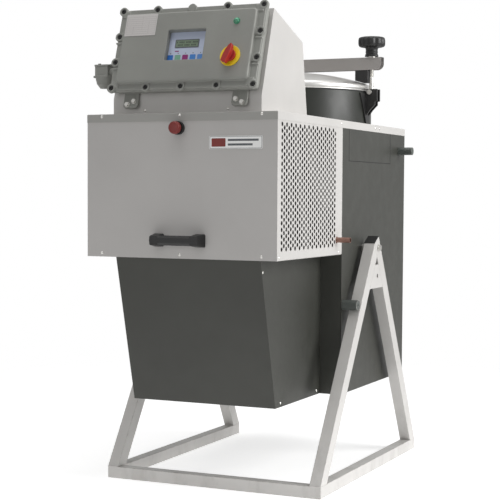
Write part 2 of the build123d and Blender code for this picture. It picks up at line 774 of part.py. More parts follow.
def insulation():
    z0 = JACKET_Z[0] - 30
    blanket = rod_z(324, z0, 1120, 0, BOILER_Y)
    blanket -= rod_z(JACKET_R + 1, JACKET_Z[0] - 1, 1121, 0, BOILER_Y)
    for x, y in HEATER_TAILS:
        blanket -= rod_z(9, z0 - 1, JACKET_Z[0], x, y)
    return blanket


def heating_elements():
    """Three hairpin elements under the vessel, tails down through the jacket."""
    z = 500.0
    low = JACKET_Z[0] - 45
    elements = []
    for row in (-150, 0, 150):
        y0 = BOILER_Y - 150
        y1 = BOILER_Y + 120
        path = FilletPolyline(
            (row - 35, y0, low), (row - 35, y0, z), (row - 35, y1, z),
            (row + 35, y1, z), (row + 35, y0, z), (row + 35, y0, low),
            radius=20,
        )
        section = Plane(origin=(row - 35, y0, low), z_dir=(0, 0, 1)) * Circle(HEATER_R)
        elements.append(sweep(section, path=path))
    return elements


def neck_collar():
    return ring_z(NECK_R, NECK_R - 4, COVER_TOP - 30, NECK_TOP, 0, BOILER_Y)


def vapour_duct():
    """Pipe from the boiler's neck to the condenser."""
    y_wall = BOILER_Y - VESSEL_R
    duct = rod_y(DUCT_R, 505, y_wall + 12, 0, DUCT_Z)
    duct += rod_y(40, y_wall - 30, y_wall - 20, 0, DUCT_Z)
    duct -= rod_y(DUCT_R - 3, 500, y_wall + 20, 0, DUCT_Z)
    return duct - rod_z(VESSEL_R, 1000, 1300, 0, BOILER_Y)


# ---- lid ----
def dome_z(r):
    return DOME_TOP - r * r / (2 * DOME_SPHERE_R)


DOME_STEPS = 6
DOME_EDGE_R = 290.0


def lid():
    """Dished stainless lid with a rounded skirt and an inner gasket ring."""
    radii = [DOME_EDGE_R * i / DOME_STEPS for i in range(DOME_STEPS + 1)]
    top = [(r, dome_z(r)) for r in radii]
    rim_z = dome_z(DOME_EDGE_R)
    edge = [(LID_R - 4, rim_z - 4), (LID_R, rim_z - 11), (LID_R, LID_SKIRT_BOTTOM)]
    ring = [
        (LID_R - LID_T, LID_SKIRT_BOTTOM), (LID_R - LID_T, 1360), (268, 1360), (268, 1363),
        (LID_R - LID_T, 1363), (LID_R - LID_T, dome_z(DOME_EDGE_R) - 11.5),
    ]
    under = [(r, dome_z(r) - LID_T) for r in reversed(radii)]
    return turned(top + edge + ring + under, 0, BOILER_Y)


def lid_gasket():
    return ring_z(296.5, 272, NECK_TOP + 0.4, 1360, 0, BOILER_Y)


# ---- clamp ----
def clamp_bar():
    """Inverted channel with rounded lower corners, hinged at the left."""
    radius = 22.0
    end = BAR_RIGHT_X
    start = BAR_LEFT_X
    half = BAR_W / 2
    side = Polyline((start, BAR_TOP), (end, BAR_TOP), (end, BAR_BOTTOM), (start, BAR_BOTTOM), close=True)
    profile = make_face(side)
    corners = [v for v in profile.vertices() if v.Y < BAR_TOP - 1]
    profile = fillet(corners, radius)
    solid = extrude(Plane.XZ.offset(-(BOILER_Y + half)) * profile, amount=BAR_W, dir=(0, -1, 0))
    solid -= block(
        (start - 1, end + 1),
        (BOILER_Y - half + BAR_T, BOILER_Y + half - BAR_T),
        (BAR_BOTTOM - 1, BAR_TOP - BAR_T),
    )
    solid -= block(
        (start - 1, HINGE_X + 2),
        (BOILER_Y - half + BAR_T, BOILER_Y + half - BAR_T),
        (BAR_BOTTOM - 1, BAR_TOP + 1),
    )
    solid -= rod_z(ROD_R, BAR_BOTTOM, BAR_TOP + 1, ROD_X, BOILER_Y)
    return solid - rod_y(PIN_R + RUNNING_GAP, BOILER_Y - 20, BOILER_Y + 20, HINGE_X, HINGE_Z)


FOOT_X = (257.0, 305.0)


def pressure_feet():
    """Blocks under the bar that press the lid down near its rim."""
    r0, r1 = FOOT_X
    outline = [(r0, BAR_BOTTOM), (r1, BAR_BOTTOM), (r1, 1384), (LID_R - 7, 1384)]
    outline += [(r, dome_z(r) + 1.3) for r in (r1 - 15, r1 - 27, r0)]
    foot = prism_y(outline, BOILER_Y - 12, BOILER_Y + 12)
    return [foot, mirrored(foot)]


def bar_hinge_bracket():
    """Lug and saddle on the left of the neck that carry the bar's hinge pin."""
    lug = prism_y(
        [
            (-292, 1262), (-345, 1330), (-341, HINGE_Z), (-311, HINGE_Z),
            (-309, 1400), (-304, 1352), (-292, 1345),
        ],
        BOILER_Y - 8, BOILER_Y + 8,
    )
    lug += rod_y(15, BOILER_Y - 8, BOILER_Y + 8, HINGE_X, HINGE_Z)
    lug += saddle(-1)
    lug -= rod_z(NECK_R, 1200, 1400, 0, BOILER_Y)
    return lug - rod_y(PIN_R, BOILER_Y - 9, BOILER_Y + 9, HINGE_X, HINGE_Z)


def saddle(side):
    """Curved pad on the neck, wide at the top and narrow at the bottom."""
    pad = ring_z(NECK_R + 5, NECK_R, 1238, 1346, 0, BOILER_Y)
    wedge = prism_x(
        [(BOILER_Y - 62, 1346), (BOILER_Y + 62, 1346), (BOILER_Y + 14, 1238), (BOILER_Y - 14, 1238)],
        *sorted((side * 200, side * 330)),
    )
    return pad & wedge


EAR_GAP = 10.0
EAR_T = 8.0


def clamp_bracket():
    """Two ears on a saddle on the right of the neck."""
    ears = Part()
    outline = [(292, 1250), (300, 1262), (318, 1286), (336, 1304), (336, 1316), (344, 1318), (344, 1361),
               (304, 1361), (304, 1348), (292, 1346)]
    for y0 in (BOILER_Y - EAR_GAP - EAR_T, BOILER_Y + EAR_GAP):
        ears += prism_y(outline, y0, y0 + EAR_T)
    ears += saddle(1)
    ears -= rod_z(NECK_R, 1200, 1400, 0, BOILER_Y)
    return ears - rod_y(PIVOT_SCREW_R, BOILER_Y - 20, BOILER_Y + 20, ROD_X, PIVOT_SCREW_Z)


def bracket_pins():
    """Hinge pin of the bar and the two pivot screws of the swing bolt."""
    pin = rod_y(PIN_R, BOILER_Y - 19, BOILER_Y + 19, HINGE_X, HINGE_Z)
    pin += rod_y(9, BOILER_Y - 19, BOILER_Y - 14.5, HINGE_X, HINGE_Z)
    pin += rod_y(9, BOILER_Y + 14.5, BOILER_Y + 19, HINGE_X, HINGE_Z)
    pieces = [pin]
    for side in (-1, 1):
        ends = sorted((BOILER_Y + side * EAR_GAP, BOILER_Y + side * (EAR_GAP + EAR_T)))
        screw = rod_y(PIVOT_SCREW_R, ends[0], ends[1], ROD_X, PIVOT_SCREW_Z)
        seat = facing(ROD_X, BOILER_Y + side * (EAR_GAP + EAR_T), PIVOT_SCREW_Z, (0, side, 0))
        head = seat * hexagon(17, 8)
        pieces.append(screw + head)
    return pieces


def swing_bolt():
    """Threaded rod with an eye end that sits between the bracket's ears."""
    rod = rod_z(ROD_R, PIVOT_SCREW_Z, KNOB_TOP - 12.4, ROD_X, BOILER_Y)
    eye = rod_y(EYE_R, BOILER_Y - EAR_GAP + 0.4, BOILER_Y + EAR_GAP - 0.4, ROD_X, PIVOT_SCREW_Z)
    hole = rod_y(PIVOT_SCREW_R + 0.5, BOILER_Y - EAR_GAP, BOILER_Y + EAR_GAP, ROD_X, PIVOT_SCREW_Z)
    return rod + eye - hole


KNOB_LOBES = 8


def knob():
    head = rod_z(KNOB_R, KNOB_BOTTOM, KNOB_TOP, ROD_X, BOILER_Y)
    for i in range(KNOB_LOBES):
        angle = math.radians(360 / KNOB_LOBES * i)
        x = ROD_X + 57.5 * math.cos(angle)
        y = BOILER_Y + 57.5 * math.sin(angle)
        head -= rod_z(12, KNOB_BOTTOM - 1, KNOB_TOP + 1, x, y)
    head += rod_z(HUB_R, HUB_BOTTOM, KNOB_BOTTOM, ROD_X, BOILER_Y)
    return head - rod_z(ROD_R + RUNNING_GAP, HUB_BOTTOM - 1, KNOB_TOP - 12, ROD_X, BOILER_Y)


def knob_washer():
    return ring_z(16, ROD_R, BAR_TOP, HUB_BOTTOM - 0.3, ROD_X, BOILER_Y)


# ---- condenser, fan and pipes ----
COIL_X = (252.0, 312.0)
COIL_Y = (50.0, 490.0)
COIL_Z = (815.0, 1180.0)


def condenser_coil():
    """Finned block behind the right-hand grille."""
    feet_z = (BOX_BOTTOM + SHEET, COIL_Z[1])
    coil = block(COIL_X, (COIL_Y[0], COIL_Y[0] + 3), feet_z)
    coil += block(COIL_X, (COIL_Y[1] - 3, COIL_Y[1]), feet_z)
    for z in range(840, 1180, 45):
        coil += rod_y(8, COIL_Y[0] + 1, COIL_Y[1] - 1, 282, z)
    for i in range(1, 22):
        y = COIL_Y[0] + 20 * i
        coil += block(COIL_X, (y, y + 1.2), (COIL_Z[0] + 4, COIL_Z[1] - 4))
    return coil


FAN_Y = 275.0
FAN_Z = 995.0
FAN_R = 160.0


def fan_shroud():
    """Ring and square plate around the fan, with a four-armed motor carrier."""
    plate = block((218, COIL_X[0]), (FAN_Y - 210, FAN_Y + 210), (FAN_Z - 178, FAN_Z + 178))
    plate -= block((221, COIL_X[0] + 1), (FAN_Y - 207, FAN_Y + 207), (FAN_Z - 175, FAN_Z + 175))
    plate -= rod_x(FAN_R + 6, 200, 240, FAN_Y, FAN_Z)
    ring = rod_x(FAN_R + 8, 176, 221, FAN_Y, FAN_Z) - rod_x(FAN_R + 6, 170, 230, FAN_Y, FAN_Z)
    arms = Part()
    for angle in (45, 135):
        bar = Box(6, 2 * FAN_R + 14, 18)
        arms += Pos(179, FAN_Y, FAN_Z) * Rot(angle, 0, 0) * bar
    arms -= rod_x(40, 170, 190, FAN_Y, FAN_Z)
    carrier = rod_x(48, 176, 182, FAN_Y, FAN_Z) - rod_x(40, 170, 190, FAN_Y, FAN_Z)
    return plate + ring + arms + carrier


def fan_motor():
    motor = rod_x(40, 90, 182, FAN_Y, FAN_Z)
    motor += rod_x(46, 84, 90, FAN_Y, FAN_Z)
    motor += rod_x(5, 182, 212, FAN_Y, FAN_Z)
    return motor


def fan_rotor():
    hub = rod_x(34, 186, 214, FAN_Y, FAN_Z) - rod_x(5 + RUNNING_GAP, 180, 220, FAN_Y, FAN_Z)
    rotor = hub
    for i in range(5):
        blade = Pos(0, 0, (FAN_R + 30) / 2) * Rot(0, 0, 28) * Box(2.5, 62, FAN_R - 34)
        blade &= Pos(0, 0, 0) * Rot(0, 90, 0) * Cylinder(FAN_R - 1, 60)
        rotor += Pos(200, FAN_Y, FAN_Z) * Rot(72 * i, 0, 0) * blade
    return rotor


def distillate_pipe():
    """Outlet from the foot of the condenser: an inner coupling and an open copper stub."""
    pipe = rod_x(OUTLET_R, HALF_W - 1, OUTLET_END, OUTLET_Y, OUTLET_Z)
    pipe += rod_x(COUPLING_R, 290, HALF_W, OUTLET_Y, OUTLET_Z)
    pipe += rod_y(OUTLET_R, COIL_Y[1] + 0.2, OUTLET_Y, 302, OUTLET_Z)
    return pipe - rod_x(OUTLET_R - 1.5, 296, OUTLET_END + 1, OUTLET_Y, OUTLET_Z)


# ---- tilting gear ----
def trunnion_shaft():
    shaft = rod_x(SHAFT_R, HALF_W - SHEET - 8, X_OUT - TUBE_T - 0.6, *PIVOT)
    flange = block(
        (HALF_W - SHEET - 8, HALF_W - SHEET),
        (PIVOT[0] - 50, PIVOT[0] + 40),
        (PIVOT[1] - 50, PIVOT[1] + 50),
    )
    return shaft + flange - rod_x(PIVOT_BOLT_R, X_OUT - 30, X_OUT, *PIVOT)


def trunnion_bolt():
    shank = rod_x(PIVOT_BOLT_R, X_OUT - 30, X_OUT + 0.5, *PIVOT)
    washer = rod_x(12, X_OUT + 0.5, X_OUT + 2.5, *PIVOT)
    head = Pos(X_OUT + 2.5, *PIVOT) * Rot(0, 90, 0) * hexagon(18, 7.5)
    return shank + washer + head


FRONT_STOP_R = 17.5
FRONT_STOP_Z = 601.0
STOP_GAP = 0.35
FRONT_STOP_Y = front_leg_y(FRONT_STOP_Z) - (FRONT_STOP_R + STOP_GAP) / front_dir[1]
REAR_STOP_R = 14.5
REAR_STOP = (1158.0, 1145.0)
STOP_END_X = 391.0


def tilt_stops():
    """Round bars on the cabinet's sides: front pair at rest, rear pair when tipped."""
    front = rod_x(FRONT_STOP_R, HALF_W, STOP_END_X, FRONT_STOP_Y, FRONT_STOP_Z)
    front -= rod_x(4, STOP_END_X - 15, STOP_END_X + 1, FRONT_STOP_Y, FRONT_STOP_Z)
    rear = rod_x(REAR_STOP_R, HALF_W, STOP_END_X, *REAR_STOP)
    return [front, rear, mirrored(front), mirrored(rear)]


def tilt_limit():
    """Degrees of tilt at which the rear stops meet the rear legs."""
    y = REAR_STOP[0] - PIVOT[0]
    z = REAR_STOP[1] - PIVOT[1]
    reach = math.hypot(y, z)
    offset = (rear_leg_y(PIVOT[1], True) - PIVOT[0]) * rear_dir[1] + REAR_STOP_R + STOP_GAP
    leg_angle = math.degrees(math.atan2(-rear_dir[1], -rear_dir[0]))
    return math.degrees(math.atan2(z, y)) - leg_angle - math.degrees(math.asin(offset / reach))


def controller_unit():
    """Controller behind the keypad, on the enclosure's back wall."""
    unit = Pos(0, 132, -ENCLOSURE_DEPTH + 8) * Box(180, 120, 60, align=UPWARD)
    return on_face(unit)


# ---- write the nodes ----
save("base_front_rail", front_rail())
right_rail = side_rail()
save("base_side_rail_right", right_rail)
save("base_side_rail_left", mirrored(right_rail))
right_front_leg = front_leg()
save("front_leg_right", right_front_leg)
save("front_leg_left", mirrored(right_front_leg))
right_rear_leg = rear_leg()
save("rear_leg_right", right_rear_leg)
save("rear_leg_left", mirrored(right_rear_leg))
save("gusset_plates", gusset(), mirrored(gusset()))
save("apex_plugs", apex_plug(), mirrored(apex_plug()))
save("trunnion_bushes", trunnion_bush(), mirrored(trunnion_bush()))

save("body_shell", *body_shell())
save("side_access_cover", side_access_cover())
save("base_panel", *[drilled(sheet) for sheet in base_panel()])
save("taper_housing", drilled(taper_housing()))
save("top_cover", drilled(top_cover()))
save("front_panel", drilled(front_panel()))
save("box_floor", drilled(box_floor()))
right_grille = drilled(side_grille())
outlet_hole = rod_x(COUPLING_R, HALF_W - 10, HALF_W + 10, OUTLET_Y, OUTLET_Z)
save("side_grille_left", mirrored(right_grille))
save("side_grille_right", right_grille - outlet_hole)
save("console_housing", drilled(console_housing()))

save("enclosure_cover", enclosure_cover())
save("enclosure_body", enclosure_body())
save("enclosure_cover_bolts", *cover_bolts())
save("enclosure_mounting_bolts", *mounting_bolts())
save("blank_plates", face_slab((-225, -113), (172, 246), (FIELD_W, FIELD_W + 1.0), 2),
     block((104, 285), (-1.0, 0), (1118, 1158)))
save("keypad_panel", face_slab((-72, 72), (78, 194), (-COVER_T - 4, -COVER_T), 3))
save("indicator_lamp", indicator_lamp())
save("switch_plate", switch_plate())
save("switch_handle", switch_handle())
save("controller_unit", controller_unit())

save("estop_base", estop_base())
save("estop_button", estop_button())
save("front_handle", front_handle())
save("panel_screws", *panel_screws())
save("conduit_fitting", conduit_fitting())
save("conduit_fitting_cover", conduit_fitting_cover())

save("boiler_vessel", *boiler_vessel())
save("oil_jacket", *oil_jacket())
save("insulation", insulation())
save("heating_elements", *heating_elements())
save("neck_collar", neck_collar())
save("vapour_duct", vapour_duct())
save("lid", lid())
save("lid_gasket", lid_gasket())

save("clamp_bar", clamp_bar())
save("pressure_feet", *pressure_feet())
save("bar_hinge_bracket", bar_hinge_bracket())
save("clamp_bracket", clamp_bracket())
save("bracket_pins", *bracket_pins())
save("swing_bolt", swing_bolt())
save("knob", knob())
save("knob_washer", knob_washer())

save("condenser_coil", condenser_coil())
save("fan_shroud", fan_shroud())
save("fan_motor", fan_motor())
save("fan_rotor", fan_rotor())
save("distillate_pipe", distillate_pipe())

save("trunnion_shafts", trunnion_shaft(), mirrored(trunnion_shaft()))
save("trunnion_bolts", trunnion_bolt(), mirrored(trunnion_bolt()))
save("tilt_stops", *tilt_stops())

print("centre y", CENTRE_Y, "tilt limit", round(tilt_limit(), 2), "front stop y", round(FRONT_STOP_Y, 2))
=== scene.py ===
import json
import math

import bmesh
import bpy
from mathutils import Matrix, Vector, noise

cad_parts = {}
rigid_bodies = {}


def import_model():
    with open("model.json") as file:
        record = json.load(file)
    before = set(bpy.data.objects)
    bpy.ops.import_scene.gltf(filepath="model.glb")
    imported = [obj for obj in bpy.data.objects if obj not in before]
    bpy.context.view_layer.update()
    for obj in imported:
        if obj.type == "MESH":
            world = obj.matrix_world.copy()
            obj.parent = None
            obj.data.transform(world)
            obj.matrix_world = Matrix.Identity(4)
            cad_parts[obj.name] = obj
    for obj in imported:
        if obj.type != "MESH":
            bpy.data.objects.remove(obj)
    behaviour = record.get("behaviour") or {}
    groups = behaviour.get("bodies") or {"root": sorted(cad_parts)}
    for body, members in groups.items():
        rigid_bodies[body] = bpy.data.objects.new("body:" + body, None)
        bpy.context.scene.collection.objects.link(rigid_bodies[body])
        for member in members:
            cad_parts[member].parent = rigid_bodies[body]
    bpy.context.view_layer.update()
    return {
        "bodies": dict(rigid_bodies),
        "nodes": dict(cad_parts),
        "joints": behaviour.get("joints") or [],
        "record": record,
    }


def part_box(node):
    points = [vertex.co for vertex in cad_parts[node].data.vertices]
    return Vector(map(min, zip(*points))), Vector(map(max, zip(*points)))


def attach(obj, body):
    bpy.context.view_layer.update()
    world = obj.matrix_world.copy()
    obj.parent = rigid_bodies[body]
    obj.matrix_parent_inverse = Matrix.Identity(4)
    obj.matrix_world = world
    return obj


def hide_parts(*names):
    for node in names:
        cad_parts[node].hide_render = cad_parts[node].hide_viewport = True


# Looks of the tilting solvent recycler. Lengths in the helpers are millimetres
# in the CAD's own axes: X across, Y from the front panel, Z up.

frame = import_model()
NODES = frame["nodes"]
RECORD = frame["record"]
BODY = {node: body for body, nodes in RECORD["behaviour"]["bodies"].items() for node in nodes}
SLOT = {entry["node"]: entry["material_slot"] for entry in RECORD["subparts"]}

CENTRE_Y = 592.75                  # the CAD's own shift of Y that centres the part
FACE_TILT = math.radians(18.1)     # the control face leans back by this much
FACE_FOOT = (0, 1.3, 1315.9)       # origin of the control face's U, V, W axes
BOILER_Y = 895.0


def at(x, y, z):
    """A point in the CAD's design axes (mm) as a scene position (m)."""
    return Vector((x, y - CENTRE_Y, z)) / 1000


FACE = Matrix.Translation(at(*FACE_FOOT)) @ Matrix(
    (
        (1, 0, 0, 0),
        (0, math.sin(FACE_TILT), -math.cos(FACE_TILT), 0),
        (0, math.cos(FACE_TILT), math.sin(FACE_TILT), 0),
        (0, 0, 0, 1),
    )
)


# ---- materials ----
class Tree:
    """A material's node tree with short ways to add and join nodes."""

    def __init__(self, name):
        self.material = bpy.data.materials.new(name)
        self.material.use_nodes = True
        self.nodes = self.material.node_tree.nodes
        self.links = self.material.node_tree.links
        self.shader = self.nodes["Principled BSDF"]
        self.place = self.nodes.new("ShaderNodeTexCoord").outputs["Object"]

    def add(self, kind, inputs=None, **settings):
        node = self.nodes.new(kind)
        for key, value in settings.items():
            setattr(node, key, value)
        for key, value in (inputs or {}).items():
            self.set(node.inputs[key], value)
        return node

    def set(self, socket, value):
        if isinstance(value, bpy.types.NodeSocket):
            self.links.new(value, socket)
        else:
            socket.default_value = value

    def noise(self, scale, detail=4.0, stretch=(1, 1, 1), rough=0.55):
        mapping = self.add("ShaderNodeMapping", {"Vector": self.place, "Scale": stretch})
        node = self.add(
            "ShaderNodeTexNoise",
            {"Vector": mapping.outputs[0], "Scale": scale, "Detail": detail, "Roughness": rough},
        )
        return node.outputs["Fac"]

    def ramp(self, value, low, high, to_low=0.0, to_high=1.0):
        node = self.add(
            "ShaderNodeMapRange",
            {"Value": value, "From Min": low, "From Max": high, "To Min": to_low, "To Max": to_high},
        )
        return node.outputs[0]

    def math(self, operation, a, b):
        return self.add("ShaderNodeMath", {0: a, 1: b}, operation=operation).outputs[0]

    def mix(self, factor, a, b):
        node = self.add("ShaderNodeMix", data_type="RGBA")
        self.set(node.inputs["Factor"], factor)
        self.set(node.inputs["A"], a)
        self.set(node.inputs["B"], b)
        return node.outputs["Result"]

    def height(self):
        return self.add("ShaderNodeSeparateXYZ", {"Vector": self.place}).outputs["Z"]


def shade(colour, factor):
    return tuple(min(1.0, c * factor) for c in colour[:3]) + (1.0,)


SMUDGE = 0.06                      # how far the roughness wanders to either side


def finish(
    name, base, rough, metal=0.0, vary=0.05, patch=4.0, grain=900.0, depth=0.08, stretch=(1, 1, 1),
    wear=None, wear_amount=0.5, dirt=0.0, speckle=0.0, coat=0.0, relief=0.0,
):
    """One painted, plated or moulded surface: colour drift, mottled gloss, grain, worn edges, dirt."""
    tree = Tree(name)
    drift = tree.ramp(tree.noise(patch, 5.0), 0.3, 0.7)
    colour = tree.mix(drift, shade(base, 1 - vary), shade(base, 1 + vary))
    if speckle:
        specks = tree.ramp(tree.noise(1500.0, 2.0), 0.42, 0.6)
        colour = tree.mix(tree.math("MULTIPLY", specks, speckle), colour, shade(base, 1.9))
    if dirt:
        low = tree.ramp(tree.height(), 0.0, 0.5, 1.0, 0.15)
        stains = tree.ramp(tree.noise(9.0, 8.0, (1, 1, 0.35), 0.7), 0.5, 0.78)
        amount = tree.math("MULTIPLY", tree.math("MULTIPLY", low, stains), dirt)
        colour = tree.mix(amount, colour, (0.10, 0.085, 0.065, 1))
    if wear:
        edge = tree.add("ShaderNodeAttribute", attribute_name="edge").outputs["Fac"]
        chips = tree.ramp(tree.noise(60.0, 6.0, rough=0.7), 0.45, 0.62)
        amount = tree.math("MULTIPLY", tree.math("MULTIPLY", edge, chips), wear_amount)
        colour = tree.mix(amount, colour, tuple(wear) + (1.0,))
    tree.set(tree.shader.inputs["Base Color"], colour)
    tree.shader.inputs["Metallic"].default_value = metal
    smooth, dull = max(0.02, rough - SMUDGE), min(1.0, rough + SMUDGE)
    gloss = tree.ramp(tree.noise(18.0, 6.0), 0.3, 0.75, smooth, dull)
    if metal and stretch != (1, 1, 1):
        brushed = tree.ramp(tree.noise(grain * 0.3, 3.0, stretch), 0.3, 0.7, -0.07, 0.07)
        gloss = tree.math("ADD", gloss, brushed)
    tree.set(tree.shader.inputs["Roughness"], gloss)
    if coat:
        tree.shader.inputs["Coat Weight"].default_value = coat
        tree.shader.inputs["Coat Roughness"].default_value = 0.15
    bump = tree.add(
        "ShaderNodeBump",
        {"Height": tree.noise(grain, 3.0, stretch), "Strength": depth, "Distance": 0.0006},
    )
    if relief:
        bump = tree.add(
            "ShaderNodeBump",
            {
                "Height": tree.noise(110.0, 5.0), "Strength": relief, "Distance": 0.0015,
                "Normal": bump.outputs[0],
            },
        )
    tree.set(tree.shader.inputs["Normal"], bump.outputs[0])
    return tree.material


FINISHES = {
    "light_paint": dict(
        base=(0.60, 0.585, 0.565), rough=0.42, vary=0.035, grain=500, depth=0.10,
        wear=(0.30, 0.29, 0.27), wear_amount=0.35, dirt=0.10,
    ),
    # darker copy of light_paint: painted shade on the front panel's forward faces
    "panel_shade_paint": dict(
        base=(0.52, 0.505, 0.49), rough=0.42, vary=0.035, grain=500, depth=0.10,
        wear=(0.30, 0.29, 0.27), wear_amount=0.35,
    ),
    "maker_white": dict(
        base=(0.93, 0.93, 0.92), rough=0.30, vary=0.02, grain=900, depth=0.03, coat=0.3,
    ),
    # darker copy of light_paint: painted shade on the forward-facing lip of the top cover
    "front_shade_paint": dict(
        base=(0.37, 0.365, 0.345), rough=0.42, vary=0.035, grain=500, depth=0.10,
        wear=(0.20, 0.20, 0.19), wear_amount=0.35,
    ),
    "stand_paint": dict(
        base=(0.58, 0.565, 0.545), rough=0.40, vary=0.05, grain=380, depth=0.12,
        wear=(0.25, 0.24, 0.22), wear_amount=0.6, dirt=0.35,
    ),
    "dark_paint": dict(
        base=(0.035, 0.036, 0.030), rough=0.48, vary=0.10, patch=2.5, grain=1300, depth=0.22,
        speckle=0.10, wear=(0.16, 0.16, 0.15), wear_amount=0.5, dirt=0.10,
    ),
    "neck_paint": dict(
        base=(0.012, 0.014, 0.010), rough=0.40, vary=0.15, patch=2.5, grain=900, depth=0.06,
    ),
    "cast_grey": dict(
        base=(0.285, 0.288, 0.265), rough=0.47, vary=0.06, patch=7, grain=650, depth=0.25,
        relief=0.22, wear=(0.42, 0.42, 0.40), wear_amount=0.4,
    ),
    "black_plastic": dict(
        base=(0.008, 0.008, 0.008), rough=0.46, vary=0.2, grain=1600, depth=0.30,
        wear=(0.05, 0.05, 0.05),
    ),
    "black_steel": dict(
        base=(0.012, 0.012, 0.012), rough=0.38, vary=0.25, grain=800, depth=0.22,
        wear=(0.12, 0.11, 0.10), wear_amount=0.5,
    ),
    "zinc_steel": dict(
        base=(0.62, 0.61, 0.58), rough=0.30, metal=1.0, vary=0.10, patch=30, grain=900,
        depth=0.10,
    ),
    "stainless": dict(
        base=(0.66, 0.65, 0.63), rough=0.40, metal=1.0, vary=0.04, patch=3, grain=260,
        depth=0.05, stretch=(0.25, 6, 6),
    ),
    "bar_paint": dict(
        base=(0.36, 0.34, 0.325), rough=0.38, vary=0.05, grain=420, depth=0.14,
        wear=(0.5, 0.5, 0.48), wear_amount=0.6,
    ),
    "stop_steel": dict(
        base=(0.075, 0.085, 0.078), rough=0.45, vary=0.10, grain=700, depth=0.16,
        wear=(0.45, 0.43, 0.41), wear_amount=0.8,
    ),
    "bronze": dict(
        base=(0.42, 0.27, 0.12), rough=0.35, metal=1.0, vary=0.12, patch=25, grain=700,
        depth=0.08,
    ),
    "copper": dict(
        base=(0.30, 0.17, 0.135), rough=0.36, metal=0.6, vary=0.18, patch=40, grain=500,
        depth=0.08, stretch=(0.3, 4, 4),
    ),
    "seal_rubber": dict(base=(0.02, 0.02, 0.02), rough=0.70, vary=0.2, grain=900, depth=0.3),
    "label_white": dict(
        base=(0.62, 0.595, 0.58), rough=0.34, vary=0.02, grain=900, depth=0.03, coat=0.3,
    ),
    "switch_yellow": dict(
        base=(0.86, 0.62, 0.012), rough=0.30, vary=0.05, grain=1200, depth=0.08, coat=0.3,
    ),
    "switch_red": dict(
        base=(0.40, 0.022, 0.020), rough=0.33, vary=0.10, grain=1400, depth=0.12,
        wear=(0.55, 0.10, 0.09), wear_amount=0.6,
    ),
    "estop_red": dict(
        base=(0.20, 0.016, 0.012), rough=0.40, vary=0.14, grain=1400, depth=0.14,
        wear=(0.36, 0.06, 0.05), wear_amount=0.6,
    ),
    "controller_grey": dict(base=(0.05, 0.05, 0.052), rough=0.45, vary=0.12, grain=900, depth=0.2),
    "oil_steel": dict(
        base=(0.16, 0.15, 0.14), rough=0.5, metal=0.5, vary=0.15, grain=500, depth=0.2, dirt=0.3,
    ),
    "mineral_wool": dict(
        base=(0.44, 0.37, 0.20), rough=0.95, vary=0.25, patch=30, grain=220, depth=0.9,
        relief=0.8,
    ),
    "heater_steel": dict(
        base=(0.22, 0.17, 0.13), rough=0.40, metal=0.9, vary=0.35, patch=18, grain=600,
        depth=0.15,
    ),
    "aluminium_fins": dict(
        base=(0.10, 0.10, 0.10), rough=0.45, metal=0.7, vary=0.15, patch=12, grain=400,
        depth=0.15,
    ),
    "fan_black": dict(base=(0.018, 0.018, 0.018), rough=0.45, vary=0.2, grain=900, depth=0.2),
    "keypad_face": dict(
        base=(0.56, 0.62, 0.78), rough=0.35, vary=0.05, grain=1500, depth=0.06, coat=0.2,
    ),
    "display_cells": dict(base=(0.045, 0.065, 0.045), rough=0.4, vary=0.1, grain=1500, depth=0.05),
    "plate_ink": dict(base=(0.34, 0.31, 0.31), rough=0.5, vary=0.1, grain=1500, depth=0.05),
    "bezel_grey": dict(base=(0.10, 0.11, 0.12), rough=0.4, vary=0.1, grain=1500, depth=0.1),
}

KEY_COLOURS = {
    "key_blue": (0.02, 0.16, 0.55),
    "key_green": (0.20, 0.42, 0.30),
    "key_magenta": (0.26, 0.012, 0.16),
    "key_mid_blue": (0.05, 0.22, 0.60),
    "key_pale_blue": (0.10, 0.26, 0.62),
}


def lens_material():
    """Green lamp lens: moulded ribs in a tinted, glossy plastic."""
    tree = Tree("lamp_green")
    ribs = tree.add(
        "ShaderNodeTexWave",
        {"Vector": tree.place, "Scale": 260.0, "Distortion": 1.0, "Detail": 2.0},
        wave_type="RINGS",
    ).outputs["Fac"]
    drift = tree.ramp(tree.noise(300.0), 0.3, 0.7)
    colour = tree.mix(drift, (0.010, 0.16, 0.075, 1), (0.05, 0.42, 0.22, 1))
    tree.set(tree.shader.inputs["Base Color"], colour)
    tree.shader.inputs["Roughness"].default_value = 0.12
    tree.shader.inputs["Coat Weight"].default_value = 0.8
    bump = tree.add("ShaderNodeBump", {"Height": ribs, "Strength": 0.25, "Distance": 0.0005})
    tree.set(tree.shader.inputs["Normal"], bump.outputs[0])
    return tree.material


def display_material():
    """Reflective LCD: pale green glass over a fine cell pattern."""
    tree = Tree("display_green")
    upright = tree.add("ShaderNodeMapping", {"Vector": tree.place, "Rotation": (-FACE_TILT, 0, 0)})
    cells = tree.add(
        "ShaderNodeTexBrick",
        {
            "Vector": upright.outputs[0], "Scale": 240.0, "Mortar Size": 0.04,
            "Color1": (0.15, 0.22, 0.14, 1), "Color2": (0.17, 0.24, 0.16, 1), "Mortar": (0.19, 0.26, 0.17, 1),
        },
        offset=0.0,
    )
    haze = tree.ramp(tree.noise(25.0), 0.3, 0.7, 0, 0.4)
    colour = tree.mix(haze, cells.outputs["Color"], (0.21, 0.29, 0.19, 1))
    tree.set(tree.shader.inputs["Base Color"], colour)
    tree.shader.inputs["Roughness"].default_value = 0.18
    tree.shader.inputs["Coat Weight"].default_value = 0.6
    return tree.material


MATERIALS = {name: finish(name, **settings) for name, settings in FINISHES.items()}
MATERIALS["lamp_green"] = lens_material()
MATERIALS["display_green"] = display_material()
for key_name, key_base in KEY_COLOURS.items():
    MATERIALS[key_name] = finish(
        key_name, key_base, 0.38, vary=0.06, patch=120, grain=1600, depth=0.10, coat=0.15
    )

SLOT_MATERIAL = {"panel_blue": "keypad_face"}     # slots whose look has another name


def material_of(node):
    return SLOT_MATERIAL.get(SLOT[node], SLOT[node])


